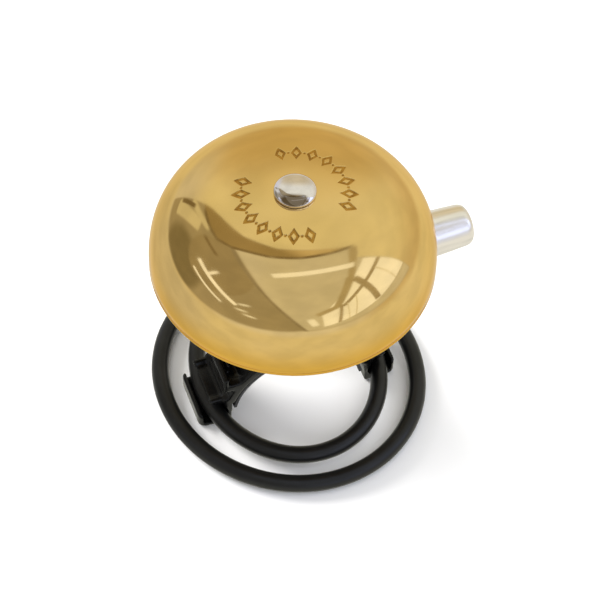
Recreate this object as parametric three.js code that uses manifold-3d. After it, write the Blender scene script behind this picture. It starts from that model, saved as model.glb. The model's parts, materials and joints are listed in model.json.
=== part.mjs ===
// A bicycle bell: a spun brass dome on a steel post, a spring striker in a turning collar,
// and a moulded handlebar saddle held by an O-ring, with a larger spare O-ring around it.
// Millimetres. The origin is the crown of the saddle pad on the dome's axis, +Z up the axis,
// +Y along the handlebar and +X towards the striker.
import * as THREE from "three";
import { mergeVertices } from "three/addons/utils/BufferGeometryUtils.js";
import Module from "manifold-3d";

const wasm = await Module();
wasm.setup();

// ---- Driving dimensions ----

const GAP = 0.3; // clearance kept between neighbouring pieces

const DOME_RADIUS = 30;
const DOME_HEIGHT = 21.4;
const DOME_WALL = 1.6;
const DOME_FULLNESS = 2.75; // exponent of the superellipse that the dome is spun to
const RIM_Z = 28; // height of the rim above the crown of the saddle pad

const BAR_RADIUS = 14.6; // the pad's face
const PAD_THICKNESS = 1;
const PAD_HALF_WIDTH = 6.5;
const PAD_END_RISE = 2.4; // the pad stops this far above the handlebar's axis
const PAD_FACETS = 13; // odd, so that one flat facet is centred on the crown

const SADDLE_HALF_WIDTH = 6.8;
const SADDLE_WALL = 1.3;
const FOOT_Z = -15.9;
const LEG_HALF_WIDTH = 6.8;
const HOOK_ROUND = 1.7;
const LEG_TOP_Z = -9.6; // below this the saddle narrows to the two legs
const WALL = 1.2; // walls and ribs of the hollow shoulders
const UPPER_SHOULDER_X = 17.7;
const UPPER_SHOULDER_Z = -0.4;
const LOWER_SHOULDER_X = 20.8;
const LOWER_SHOULDER_Z = -6.6;
const SHOULDER_UNDER_Z = -9.6;
const UPPER_FLOOR_Z = -3.7; // floor of the upper pocket
const SHELF_UNDER_Z = -4.9; // underside of the same floor, over the lower pocket
const LOWER_FLOOR_Z = -8.7;
const LOWER_HALF_WIDTH = 6.2;
const UPPER_ROUND = 2.4; // corner radii of the two pockets
const LOWER_ROUND = 1.9;
const LIP = 0.9; // height left at a pocket's front and back
const RIB_X = 14.8; // a short rib stands in the upper pocket
const RIB_THICKNESS = 0.7;
const RIB_HALF_LENGTH = 2.8;
const RIB_TOP_Z = -1;
const BLOCK_HALF_LENGTH = 9.5;
const BLOCK_TOP_Z = 5.4;

const CORD = 4.1; // section of both O-rings
const SMALL_RING_X = 20.1; // centreline half widths
const SMALL_RING_Y = 24.1;
const SMALL_RING_SHIFT = [0, 0.7]; // it doesn't sit quite square in its hooks
const LARGE_RING_MAJOR = 30.3;
const LARGE_RING_MINOR = 28.35;
const LARGE_RING_TURN = -72.5; // direction of its long axis, degrees

const FLANGE_THICKNESS = 1;
const FLANGE_RISE = 3.9;
const FLOOR_THICKNESS = 1;

const NECK_TOP_Z = 15.8;
const GUSSET_TOP_Z = 12.8;
const NECK_RADIUS = 7.2;
const NECK_FOOT_RADIUS = 8.6;
const POCKET_RADIUS = 6.2;
const POCKET_CEILING_Z = 7.4;
const NECK_BORE = 4.4;

const STUD_RADIUS = 3;
const BEARING_RADIUS = 4;
const POST_FLANGE_RADIUS = 6.5;
const POST_RADIUS = 4.6;
const POST_BORE = 2.3;

const STRIKER_DROP = 6.2; // the striker's axis below the rim
const STRIKER_TURN = 1.5; // where the collar is set, degrees from +X
const COLLAR_RADIUS = 8;
const BOSS_RADIUS = 4.6;
const BOSS_END = 12.5;
const SOCKET_DEPTH = 3.2;
const FERRULE_BORE = 3.3;
const FERRULE_RADIUS = 3.7;
const SET_SCREW_X = 11.2;

const COIL_RADIUS = 2; // centreline
const COIL_WIRE = 0.5;
const COIL_PITCH = 1.3;
const COIL_TURNS = 10.5;
const COIL_START = 10.8;

const HEAD_START = 26;
const HEAD_END = 40.9;
const HEAD_RADIUS = 5.2;
const HEAD_TIP_RADIUS = 4.55;
const HEAD_FILLET = 2.2;

const SCREW_HEAD_RADIUS = 4.35;
const SCREW_HEAD_EDGE = 0.7;
const SCREW_HEAD_HEIGHT = 1.7;
const SCREW_RADIUS = 2;
const SCREW_LENGTH = 15;

// ---- Worked out from them ----

const BAR_AXIS_Z = -BAR_RADIUS;
const ARCH_RADIUS = BAR_RADIUS + PAD_THICKNESS + GAP;
const SHELL_RADIUS = ARCH_RADIUS + SADDLE_WALL;
const CORD_RADIUS = CORD / 2;
const SMALL_RING_Z = FOOT_Z + FLOOR_THICKNESS + GAP + CORD_RADIUS;
const FLANGE_INNER_X = SMALL_RING_X + CORD_RADIUS + GAP;
const FLANGE_OUTER_X = FLANGE_INNER_X + FLANGE_THICKNESS;
const CROWN_Z = RIM_Z + DOME_HEIGHT;
const STRIKER_Z = RIM_Z - STRIKER_DROP;
const COLLAR_BOTTOM_Z = STRIKER_Z - BOSS_RADIUS;
const COLLAR_TOP_Z = STRIKER_Z + BOSS_RADIUS;
const POST_FLANGE_Z = COLLAR_TOP_Z + 1;
const BUSH_FLANGE_TOP_Z = CROWN_Z - DOME_WALL - GAP;
const SEAT_TOP_Z = BUSH_FLANGE_TOP_Z - 0.8 - GAP;
const POST_TOP_Z = SEAT_TOP_Z - 0.8 - GAP;
const HEAD_BASE_Z = CROWN_Z + GAP;
const BORE_END_Z = HEAD_BASE_Z - SCREW_LENGTH - 1;

// ---- Materials ----

function finish(color, roughness, metalness) {
  return new THREE.MeshStandardMaterial({ color, roughness, metalness });
}

const polishedBrass = () => finish("#d1a149", 0.12, 1);
const plainBrass = () => finish("#b8954f", 0.35, 1);
const chrome = () => finish("#d6d4d2", 0.06, 1);
const satinAluminium = () => finish("#cfccc6", 0.32, 1);
const zincSteel = () => finish("#a9abac", 0.38, 1);
const springSteel = () => finish("#8d8f92", 0.3, 1);
const blackNylon = () => finish("#1b1b1a", 0.42, 0);
const naturalNylon = () => finish("#d9d3c2", 0.5, 0);
const blackRubber = () => finish("#161616", 0.62, 0);
const padRubber = () => finish("#202020", 0.75, 0);

// ---- Shape helpers ----

const radians = THREE.MathUtils.degToRad;

// A closed geometry as a solid that can be joined and cut.
function solidOf(geometry) {
  const bare = geometry.index ? geometry.toNonIndexed() : geometry.clone();
  bare.deleteAttribute("normal");
  bare.deleteAttribute("uv");
  const merged = mergeVertices(bare, 1e-4);
  const vertProperties = merged.attributes.position.array;
  const triVerts = new Uint32Array(merged.index.array);
  return new wasm.Manifold(new wasm.Mesh({ numProp: 3, vertProperties, triVerts }));
}

function geometryOf(solid) {
  const mesh = solid.getMesh();
  return new THREE.BufferGeometry()
    .setAttribute("position", new THREE.BufferAttribute(mesh.vertProperties, 3))
    .setIndex(new THREE.BufferAttribute(mesh.triVerts, 1));
}

function part(name, geometry, material) {
  const mesh = new THREE.Mesh(geometry, material);
  mesh.name = name;
  return mesh;
}

// A closed outline of [radius, height] points turned about Z, whichever way round it is given.
function turned(outline, segments) {
  const points = outline.map(([radius, height]) => new THREE.Vector2(radius, height));
  if (THREE.ShapeUtils.area(points) < 0) points.reverse();
  points.push(points[0].clone());
  return new THREE.LatheGeometry(points, segments).rotateX(Math.PI / 2);
}

// The same, lying along +X.
function turnedAlongX(outline, segments) {
  return turned(outline, segments).rotateY(Math.PI / 2);
}

function ring(inner, outer, bottom, top, segments) {
  return turned([[inner, bottom], [outer, bottom], [outer, top], [inner, top]], segments);
}

function rodAlongX(radius, start, end, segments) {
  const length = end - start;
  return new THREE.CylinderGeometry(radius, radius, length, segments)
    .rotateZ(Math.PI / 2)
    .translate(start + length / 2, 0, 0);
}

function rodAlongY(radius, length, segments) {
  return new THREE.CylinderGeometry(radius, radius, length, segments);
}

function rodAlongZ(radius, bottom, top, segments) {
  const length = top - bottom;
  return new THREE.CylinderGeometry(radius, radius, length, segments)
    .rotateX(Math.PI / 2)
    .translate(0, 0, bottom + length / 2);
}

function box(x0, x1, y0, y1, z0, z1) {
  const made = new THREE.BoxGeometry(x1 - x0, y1 - y0, z1 - z0);
  return made.translate((x0 + x1) / 2, (y0 + y1) / 2, (z0 + z1) / 2);
}

// A shape drawn in X and Z, made solid along Y from one side to the other.
function plateAlongY(shape, y0, y1) {
  const options = { depth: y1 - y0, bevelEnabled: false, curveSegments: 8 };
  return new THREE.ExtrudeGeometry(shape, options).rotateX(Math.PI / 2).translate(0, y1, 0);
}

// ---- The dome and what fastens it ----

function domeProfile(radius, height, steps) {
  const power = 2 / DOME_FULLNESS;
  const points = [];
  for (let i = 0; i <= steps; i++) {
    const t = (i / steps) * (Math.PI / 2);
    const rho = radius * Math.max(Math.cos(t), 0) ** power;
    points.push([rho, RIM_Z + height * Math.sin(t) ** power]);
  }
  return points;
}

const BUSH_WALL = 0.6;
const BUSH_FLANGE_RADIUS = 6;
const DOME_HOLE = SCREW_RADIUS + GAP + BUSH_WALL + GAP;

function dome() {
  const outer = domeProfile(DOME_RADIUS, DOME_HEIGHT, 11).filter(([rho]) => rho > DOME_HOLE + 1);
  const inner = domeProfile(DOME_RADIUS - DOME_WALL, DOME_HEIGHT - DOME_WALL, 8);
  const wall = inner.filter(([rho]) => rho > DOME_HOLE + 1).reverse();
  const bore = [[DOME_HOLE, CROWN_Z], [DOME_HOLE, CROWN_Z - DOME_WALL]];
  return part("dome", turned([...outer, ...bore, ...wall], 64), polishedBrass());
}

function domeScrew() {
  const tipZ = HEAD_BASE_Z - SCREW_LENGTH;
  const outline = [[0, tipZ], [SCREW_RADIUS, tipZ]];
  outline.push([SCREW_RADIUS, HEAD_BASE_Z], [SCREW_HEAD_RADIUS, HEAD_BASE_Z]);
  const steps = 6;
  for (let i = 0; i < steps; i++) {
    const t = (i / steps) * (Math.PI / 2);
    const rise = (SCREW_HEAD_HEIGHT - SCREW_HEAD_EDGE) * Math.sin(t);
    outline.push([SCREW_HEAD_RADIUS * Math.cos(t), HEAD_BASE_Z + SCREW_HEAD_EDGE + rise]);
  }
  outline.push([0, HEAD_BASE_Z + SCREW_HEAD_HEIGHT]);
  return part("dome_screw", turned(outline, 36), chrome());
}

// The nylon bush that centres the dome on its screw and keeps metal off metal.
function domeBush() {
  const inner = SCREW_RADIUS + GAP;
  const bottom = BUSH_FLANGE_TOP_Z - 0.8;
  const outer = inner + BUSH_WALL;
  const flange = BUSH_FLANGE_RADIUS;
  const outline = [[inner, bottom], [flange, bottom], [flange, BUSH_FLANGE_TOP_Z]];
  outline.push([outer, BUSH_FLANGE_TOP_Z], [outer, CROWN_Z], [inner, CROWN_Z]);
  return part("dome_bush", turned(outline, 32), naturalNylon());
}

function domeSeatWasher() {
  const washer = ring(SCREW_RADIUS + GAP, BUSH_FLANGE_RADIUS, SEAT_TOP_Z - 0.8, SEAT_TOP_Z, 32);
  return part("dome_seat_washer", washer, padRubber());
}

// ---- The post through the middle ----

function post() {
  const shoulder = NECK_TOP_Z + GAP;
  const outline = [[0, 2.4], [STUD_RADIUS - 0.4, 2.4], [STUD_RADIUS, 2.8], [STUD_RADIUS, shoulder]];
  outline.push([BEARING_RADIUS, shoulder], [BEARING_RADIUS, POST_FLANGE_Z]);
  outline.push([POST_FLANGE_RADIUS, POST_FLANGE_Z], [POST_FLANGE_RADIUS, POST_FLANGE_Z + 1.2]);
  outline.push([POST_RADIUS, POST_FLANGE_Z + 1.2], [POST_RADIUS, POST_TOP_Z - 0.4]);
  outline.push([POST_RADIUS - 0.4, POST_TOP_Z], [POST_BORE, POST_TOP_Z]);
  outline.push([POST_BORE, BORE_END_Z], [0, BORE_END_Z - POST_BORE / 2]);
  return part("post", turned(outline, 32), zincSteel());
}

function postNut() {
  const hexagon = new THREE.CylinderGeometry(5.7, 5.7, 3, 6).rotateX(Math.PI / 2).translate(0, 0, 4.7);
  const bore = rodAlongZ(STUD_RADIUS + GAP, 2, 8, 24);
  return part("post_nut", geometryOf(solidOf(hexagon).subtract(solidOf(bore))), zincSteel());
}

// A split spring washer, open at one side.
function postLockWasher() {
  const washer = solidOf(ring(STUD_RADIUS + GAP, 5.4, 6.5, 7.1, 32));
  const split = solidOf(box(3, 6, -0.35, 0.35, 6, 8));
  return part("post_lock_washer", geometryOf(washer.subtract(split)), springSteel());
}

function neckBush() {
  const bush = ring(STUD_RADIUS + GAP, NECK_BORE - GAP, POCKET_CEILING_Z + GAP, NECK_TOP_Z, 28);
  return part("neck_bush", bush, plainBrass());
}

function collarSlipWasher() {
  const bottom = NECK_TOP_Z + GAP;
  const washer = ring(BEARING_RADIUS + GAP, 7.4, bottom, COLLAR_BOTTOM_Z - GAP, 32);
  return part("collar_slip_washer", washer, naturalNylon());
}

function collarWaveWasher() {
  const bottom = COLLAR_TOP_Z + GAP;
  const washer = ring(BEARING_RADIUS + GAP, 6.4, bottom, bottom + 0.4, 32);
  return part("collar_wave_washer", washer, springSteel());
}

// ---- The striker and its collar, modelled along +X at the height of the striker's axis ----

function strikerCollar() {
  const half = BOSS_RADIUS;
  const bevel = 0.8;
  const outline = [[BEARING_RADIUS + GAP, -half], [COLLAR_RADIUS - bevel, -half]];
  outline.push([COLLAR_RADIUS, bevel - half], [COLLAR_RADIUS, half - bevel]);
  outline.push([COLLAR_RADIUS - bevel, half], [BEARING_RADIUS + GAP, half]);
  const boss = rodAlongX(BOSS_RADIUS, 5.5, BOSS_END, 28);
  const socket = rodAlongX(FERRULE_RADIUS + GAP, BOSS_END - SOCKET_DEPTH, BOSS_END + 1, 28);
  const bearing = rodAlongZ(BEARING_RADIUS + GAP, -half - 1, half + 1, 36);
  const screwHole = rodAlongZ(1.5, 0, half + 1, 16).translate(SET_SCREW_X, 0, 0);
  const solid = solidOf(turned(outline, 36))
    .add(solidOf(boss))
    .subtract(solidOf(bearing))
    .subtract(solidOf(socket))
    .subtract(solidOf(screwHole));
  return part("striker_collar", geometryOf(solid), blackNylon());
}

function socketFerrule() {
  const start = BOSS_END - SOCKET_DEPTH + GAP;
  const outline = [[FERRULE_BORE, start], [FERRULE_RADIUS, start]];
  outline.push([FERRULE_RADIUS, BOSS_END], [FERRULE_BORE, BOSS_END]);
  const screwHole = rodAlongZ(1.5, 0, 6, 16).translate(SET_SCREW_X, 0, 0);
  const solid = solidOf(turnedAlongX(outline, 28)).subtract(solidOf(screwHole));
  return part("socket_ferrule", geometryOf(solid), plainBrass());
}

function socketSetScrew() {
  const body = rodAlongZ(1.2, FERRULE_BORE - 0.1, BOSS_RADIUS - 0.1, 18);
  const hexagon = new THREE.CylinderGeometry(0.6, 0.6, 1.4, 6);
  const key = hexagon.rotateX(Math.PI / 2).translate(0, 0, BOSS_RADIUS);
  const solid = solidOf(body).subtract(solidOf(key)).translate([SET_SCREW_X, 0, 0]);
  return part("socket_set_screw", geometryOf(solid), zincSteel());
}

class CoilCurve extends THREE.Curve {
  getPoint(t, target = new THREE.Vector3()) {
    const turn = t * COIL_TURNS * 2 * Math.PI;
    const along = COIL_START + t * COIL_TURNS * COIL_PITCH;
    return target.set(along, COIL_RADIUS * Math.cos(turn), COIL_RADIUS * Math.sin(turn));
  }
}

function strikerSpring() {
  const wire = new THREE.Shape().absarc(0, 0, COIL_WIRE, 0, 2 * Math.PI);
  const options = { extrudePath: new CoilCurve(), steps: Math.round(COIL_TURNS * 10), curveSegments: 3 };
  return part("striker_spring", new THREE.ExtrudeGeometry(wire, options), springSteel());
}

// The stud that joins the spring to the striker's head.
function strikerStud() {
  const flange = HEAD_START - GAP;
  const outline = [[0, flange - 4], [1.2, flange - 4], [1.2, flange - 0.6], [2.7, flange - 0.6]];
  outline.push([2.7, flange], [1.4, flange], [1.4, flange + 5.5], [0, flange + 5.5]);
  return part("striker_stud", turnedAlongX(outline, 20), zincSteel());
}

function strikerHead() {
  const bore = 1.4 + GAP;
  const shoulder = HEAD_END - HEAD_FILLET;
  const outline = [[0, HEAD_START + 6.2], [bore, HEAD_START + 5.6], [bore, HEAD_START]];
  outline.push([HEAD_RADIUS - 0.4, HEAD_START], [HEAD_RADIUS, HEAD_START + 0.4]);
  const steps = 5;
  for (let i = 0; i <= steps; i++) {
    const t = (i / steps) * (Math.PI / 2);
    const radius = HEAD_TIP_RADIUS - HEAD_FILLET * (1 - Math.cos(t));
    outline.push([radius, shoulder + HEAD_FILLET * Math.sin(t)]);
  }
  outline.push([0, HEAD_END + 0.1]);
  return part("striker_head", turnedAlongX(outline, 36), satinAluminium());
}

function strikerAssembly() {
  const assembly = new THREE.Group();
  assembly.add(strikerCollar(), socketFerrule(), socketSetScrew());
  assembly.add(strikerSpring(), strikerStud(), strikerHead());
  assembly.position.z = STRIKER_Z;
  assembly.rotation.z = radians(STRIKER_TURN);
  return assembly;
}

// ---- The handlebar bracket ----

// The saddle wall over the handlebar.
function saddleShell() {
  const shape = new THREE.Shape();
  shape.moveTo(-SHELL_RADIUS, LEG_TOP_Z);
  shape.lineTo(-SHELL_RADIUS, BAR_AXIS_Z);
  shape.lineTo(SHELL_RADIUS, BAR_AXIS_Z);
  shape.absarc(0, BAR_AXIS_Z, SHELL_RADIUS, 0, Math.PI);
  const whole = plateAlongY(shape, -SADDLE_HALF_WIDTH, SADDLE_HALF_WIDTH);
  const below = box(-30, 30, -20, 20, -30, LEG_TOP_Z);
  return solidOf(whole).subtract(solidOf(below));
}

// The outline of one shoulder: an upper and a lower step outside the saddle wall.
function shoulderShape(side) {
  const shape = new THREE.Shape();
  shape.moveTo(side * 4, 0);
  shape.lineTo(side * BLOCK_HALF_LENGTH, BLOCK_TOP_Z);
  shape.lineTo(side * (UPPER_SHOULDER_X - WALL), UPPER_SHOULDER_Z);
  shape.lineTo(side * UPPER_SHOULDER_X, UPPER_SHOULDER_Z - 0.3);
  shape.lineTo(side * UPPER_SHOULDER_X, LOWER_SHOULDER_Z);
  shape.lineTo(side * LOWER_SHOULDER_X, LOWER_SHOULDER_Z);
  shape.lineTo(side * LOWER_SHOULDER_X, SHOULDER_UNDER_Z + 1);
  shape.lineTo(side * (LOWER_SHOULDER_X - 1), SHOULDER_UNDER_Z);
  shape.lineTo(side * (ARCH_RADIUS - 2), SHOULDER_UNDER_Z);
  return shape;
}

// A box given for the +X side, on the side that side names.
function sideBox(side, x0, x1, halfWidth, z0, z1) {
  const made = box(x0, x1, -halfWidth, halfWidth, z0, z1);
  return solidOf(side > 0 ? made : made.rotateZ(Math.PI));
}

// A pocket given for the +X side: a box whose bottom and upright corners are rounded.
function pocket(side, x0, x1, halfWidth, z0, z1, round) {
  const corners = [];
  for (const x of [x0 + round, x1 - round]) {
    for (const y of [round - halfWidth, halfWidth - round]) {
      for (const z of [z0 + round, z1]) corners.push([side * x, y, z]);
    }
  }
  const ball = wasm.Manifold.sphere(round, 20);
  return wasm.Manifold.hull(corners.map((corner) => ball.translate(corner)));
}

// Two steps outside the saddle wall, hollowed from above by one pocket each. Both pockets keep only
// a low lip at the front and back, and the lower one is open outwards, where the O-ring passes it.
function shoulder(side) {
  const half = SADDLE_HALF_WIDTH;
  const lowerInside = LOWER_HALF_WIDTH - WALL;
  const innerX = UPPER_SHOULDER_X - WALL;
  const outside = sideBox(side, UPPER_SHOULDER_X, LOWER_SHOULDER_X + 1, half + 1, -20, 0);
  const lowerEnds = outside.subtract(sideBox(side, 0, 40, LOWER_HALF_WIDTH, -20, 0));
  const core = barCylinder(SHELL_RADIUS);
  const lip = barCylinder(SHELL_RADIUS + LIP);
  const upper = pocket(side, BLOCK_HALF_LENGTH, innerX, half - WALL, UPPER_FLOOR_Z, 12, UPPER_ROUND);
  const lower = pocket(side, UPPER_SHOULDER_X, 30, lowerInside, LOWER_FLOOR_Z, 12, LOWER_ROUND);
  const hollow = pocket(side, 12, 30, lowerInside, LOWER_FLOOR_Z, SHELF_UNDER_Z - 1, 1);
  const upperMouth = sideBox(side, BLOCK_HALF_LENGTH + WALL, innerX, 20, UPPER_FLOOR_Z + LIP, 12);
  const underShelf = sideBox(side, 12, 30, 20, LOWER_FLOOR_Z + LIP, SHELF_UNDER_Z);
  const overFloor = sideBox(side, UPPER_SHOULDER_X, 30, 20, LOWER_FLOOR_Z + LIP, 0);
  return solidOf(plateAlongY(shoulderShape(side), -half, half))
    .subtract(lowerEnds)
    .subtract(upper.subtract(core))
    .subtract(hollow.subtract(core))
    .subtract(upperMouth.add(underShelf).subtract(lip))
    .subtract(lower.add(overFloor))
    .add(sideBox(side, RIB_X, RIB_X + RIB_THICKNESS, RIB_HALF_LENGTH, UPPER_FLOOR_Z - 0.5, RIB_TOP_Z));
}

// A cylinder about the handlebar's axis.
function barCylinder(radius) {
  return solidOf(rodAlongY(radius, 60, 72).translate(0, 0, BAR_AXIS_Z));
}

// A leg with the hook that holds the O-ring: a floor under the ring and a lip outside it.
function legAndHook(side) {
  const half = LEG_HALF_WIDTH;
  const leg = sideBox(side, ARCH_RADIUS - 0.2, SHELL_RADIUS + 0.2, half, FOOT_Z, LEG_TOP_Z + 2);
  const floor = sideBox(side, ARCH_RADIUS, FLANGE_OUTER_X, half, FOOT_Z, FOOT_Z + FLOOR_THICKNESS);
  return leg.add(floor).add(lip(side)).intersect(hookPlan(side));
}

// A block that rounds the hook's outer corners, seen from above.
function hookPlan(side) {
  const post = wasm.Manifold.cylinder(12, HOOK_ROUND, HOOK_ROUND, 24).translate([0, 0, FOOT_Z - 1]);
  const places = [];
  for (const x of [HOOK_ROUND, FLANGE_OUTER_X - HOOK_ROUND]) {
    for (const y of [HOOK_ROUND - LEG_HALF_WIDTH, LEG_HALF_WIDTH - HOOK_ROUND]) places.push([side * x, y, 0]);
  }
  return wasm.Manifold.hull(places.map((place) => post.translate(place)));
}

// The hook's lip, a bar along the handlebar with round upper corners.
function lip(side) {
  const half = LEG_HALF_WIDTH;
  const round = 1.5;
  const top = FOOT_Z + FLANGE_RISE;
  const shape = new THREE.Shape();
  shape.moveTo(-half, FOOT_Z);
  shape.lineTo(half, FOOT_Z);
  shape.lineTo(half, top - round);
  shape.absarc(half - round, top - round, round, 0, Math.PI / 2);
  shape.absarc(round - half, top - round, round, Math.PI / 2, Math.PI);
  const options = { depth: FLANGE_THICKNESS, bevelEnabled: false, curveSegments: 5 };
  const start = side > 0 ? FLANGE_INNER_X : -FLANGE_OUTER_X;
  const bar = new THREE.ExtrudeGeometry(shape, options).rotateX(Math.PI / 2).rotateZ(Math.PI / 2);
  return solidOf(bar.translate(start, 0, 0));
}

function neck() {
  const outline = [[0, 0], [NECK_FOOT_RADIUS, 0], [NECK_FOOT_RADIUS, BLOCK_TOP_Z]];
  outline.push([NECK_RADIUS, BLOCK_TOP_Z + 2], [NECK_RADIUS, NECK_TOP_Z - 0.5]);
  outline.push([NECK_RADIUS - 0.5, NECK_TOP_Z], [0, NECK_TOP_Z]);
  const half = SADDLE_HALF_WIDTH;
  const block = box(-BLOCK_HALF_LENGTH, BLOCK_HALF_LENGTH, -half, half, -2, BLOCK_TOP_Z);
  const gusset = new THREE.Shape();
  gusset.moveTo(-BLOCK_HALF_LENGTH, 0);
  gusset.lineTo(BLOCK_HALF_LENGTH, 0);
  gusset.lineTo(BLOCK_HALF_LENGTH, BLOCK_TOP_Z + 0.4);
  gusset.lineTo(NECK_RADIUS, GUSSET_TOP_Z);
  gusset.lineTo(-NECK_RADIUS, GUSSET_TOP_Z);
  gusset.lineTo(-BLOCK_HALF_LENGTH, BLOCK_TOP_Z + 0.4);
  const gussets = solidOf(plateAlongY(gusset, -0.8, 0.8));
  return solidOf(turned(outline, 40)).add(solidOf(block)).add(gussets);
}

function ringSeat() {
  return solidOf(smallRingGeometry(CORD_RADIUS + 0.4));
}

function bracket() {
  let solid = saddleShell().add(neck());
  for (const side of [-1, 1]) solid = solid.add(shoulder(side)).add(legAndHook(side));
  const underBar = box(-ARCH_RADIUS, ARCH_RADIUS, -30, 30, -40, BAR_AXIS_Z);
  const nutWell = rodAlongZ(POCKET_RADIUS, -5, POCKET_CEILING_Z, 32);
  const bore = rodAlongZ(NECK_BORE, 0, NECK_TOP_Z + 1, 28);
  for (const cut of [underBar, nutWell, bore]) solid = solid.subtract(solidOf(cut));
  solid = solid.subtract(barCylinder(ARCH_RADIUS)).subtract(ringSeat());
  return part("bracket", geometryOf(solid), blackNylon());
}

// The rubber pad that lines the saddle, in flat facets.
function saddlePad() {
  const half = Math.PI / 2 - Math.asin(PAD_END_RISE / BAR_RADIUS);
  const step = (2 * half) / PAD_FACETS;
  const stretch = 1 / Math.cos(step / 2);
  const shape = new THREE.Shape();
  const arc = (radius, index) => {
    const a = Math.PI / 2 - half + index * step;
    return new THREE.Vector2(radius * stretch * Math.cos(a), BAR_AXIS_Z + radius * stretch * Math.sin(a));
  };
  const points = [];
  for (let i = 0; i <= PAD_FACETS; i++) points.push(arc(BAR_RADIUS, i));
  for (let i = PAD_FACETS; i >= 0; i--) points.push(arc(BAR_RADIUS + PAD_THICKNESS - 0.1, i));
  shape.setFromPoints(points);
  return part("saddle_pad", plateAlongY(shape, -PAD_HALF_WIDTH, PAD_HALF_WIDTH), padRubber());
}

// ---- The O-rings ----

function smallRingGeometry(cordRadius) {
  return new THREE.TorusGeometry(SMALL_RING_X, cordRadius, 10, 48)
    .scale(1, SMALL_RING_Y / SMALL_RING_X, 1)
    .translate(...SMALL_RING_SHIFT, SMALL_RING_Z);
}

function smallORing() {
  return part("small_o_ring", smallRingGeometry(CORD_RADIUS), blackRubber());
}

function largeORing() {
  const geometry = new THREE.TorusGeometry(LARGE_RING_MINOR, CORD_RADIUS, 10, 56)
    .scale(LARGE_RING_MAJOR / LARGE_RING_MINOR, 1, 1)
    .rotateZ(radians(LARGE_RING_TURN));
  const mesh = part("large_o_ring", geometry, blackRubber());
  mesh.position.z = FOOT_Z + CORD_RADIUS;
  return mesh;
}

// ---- The bell ----

const bell = new THREE.Group();
bell.add(dome(), domeScrew(), domeBush(), domeSeatWasher());
bell.add(post(), postNut(), postLockWasher(), neckBush(), collarSlipWasher(), collarWaveWasher());
bell.add(strikerAssembly());
bell.add(bracket(), saddlePad(), smallORing(), largeORing());

export default bell;
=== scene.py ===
"""The looks of the bicycle bell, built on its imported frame: smooth turned and moulded pieces with
procedural materials, a pale floor, soft studio light and the camera."""

import json
import math

import bmesh
import bpy
import numpy as np
from mathutils import Matrix, Vector


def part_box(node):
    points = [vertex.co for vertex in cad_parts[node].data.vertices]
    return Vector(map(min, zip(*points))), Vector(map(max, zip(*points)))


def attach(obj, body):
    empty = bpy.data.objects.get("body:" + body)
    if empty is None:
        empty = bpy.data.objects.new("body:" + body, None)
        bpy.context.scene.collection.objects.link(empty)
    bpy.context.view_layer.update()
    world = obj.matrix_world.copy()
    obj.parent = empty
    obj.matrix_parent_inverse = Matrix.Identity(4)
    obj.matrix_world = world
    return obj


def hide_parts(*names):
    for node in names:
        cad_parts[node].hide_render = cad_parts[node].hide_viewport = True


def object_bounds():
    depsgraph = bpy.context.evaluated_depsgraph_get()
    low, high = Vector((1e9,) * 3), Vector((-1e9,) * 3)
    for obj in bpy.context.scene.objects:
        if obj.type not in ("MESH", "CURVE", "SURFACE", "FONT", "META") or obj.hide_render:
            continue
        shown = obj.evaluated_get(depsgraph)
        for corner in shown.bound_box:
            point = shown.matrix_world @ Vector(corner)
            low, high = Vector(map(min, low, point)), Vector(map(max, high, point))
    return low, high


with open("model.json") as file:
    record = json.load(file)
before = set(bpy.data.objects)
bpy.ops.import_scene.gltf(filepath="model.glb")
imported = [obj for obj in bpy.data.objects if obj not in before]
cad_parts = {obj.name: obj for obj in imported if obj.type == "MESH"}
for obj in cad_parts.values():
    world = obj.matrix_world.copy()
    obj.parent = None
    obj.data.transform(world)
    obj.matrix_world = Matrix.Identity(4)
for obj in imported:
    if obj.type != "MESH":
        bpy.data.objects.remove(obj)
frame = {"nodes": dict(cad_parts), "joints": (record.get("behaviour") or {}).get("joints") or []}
cad_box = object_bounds()

MM = 0.001
NODES = frame["nodes"]
JOINTS = {joint["name"]: joint for joint in frame["joints"]}


# ---- What the frame gives ----


def low(node):
    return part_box(node)[0] / MM


def high(node):
    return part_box(node)[1] / MM


FLOOR_Z = cad_box[0][2]
RIM_Z = low("dome").z
CROWN_Z = high("dome").z
DOME_RADIUS = high("dome").x
DOME_HEIGHT = CROWN_Z - RIM_Z
DOME_FULLNESS = 2.75
DOME_WALL = 1.6

FLICK_AT = Vector(JOINTS["striker_flick"]["pos_m"]) / MM
STRIKER_Z = FLICK_AT.z
STRIKER_TURN = math.atan2(FLICK_AT.y, FLICK_AT.x)


# ---- Camera ----

CAMERA_TURN = math.radians(-22)
CAMERA_ELEVATION = math.radians(53.4)
CAMERA_ROLL = math.radians(2.33)
CAMERA_DISTANCE = 0.397
CAMERA_LENS = 114.8
CAMERA_SLIDE = (-0.0011, 0.0084)  # sideways and up, in the camera's own plane


def from_camera(right, away, up):
    """A direction given as the photographer sees it, in the part's frame."""
    return Matrix.Rotation(CAMERA_TURN, 3, "Z") @ Vector((right, away, up))


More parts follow.
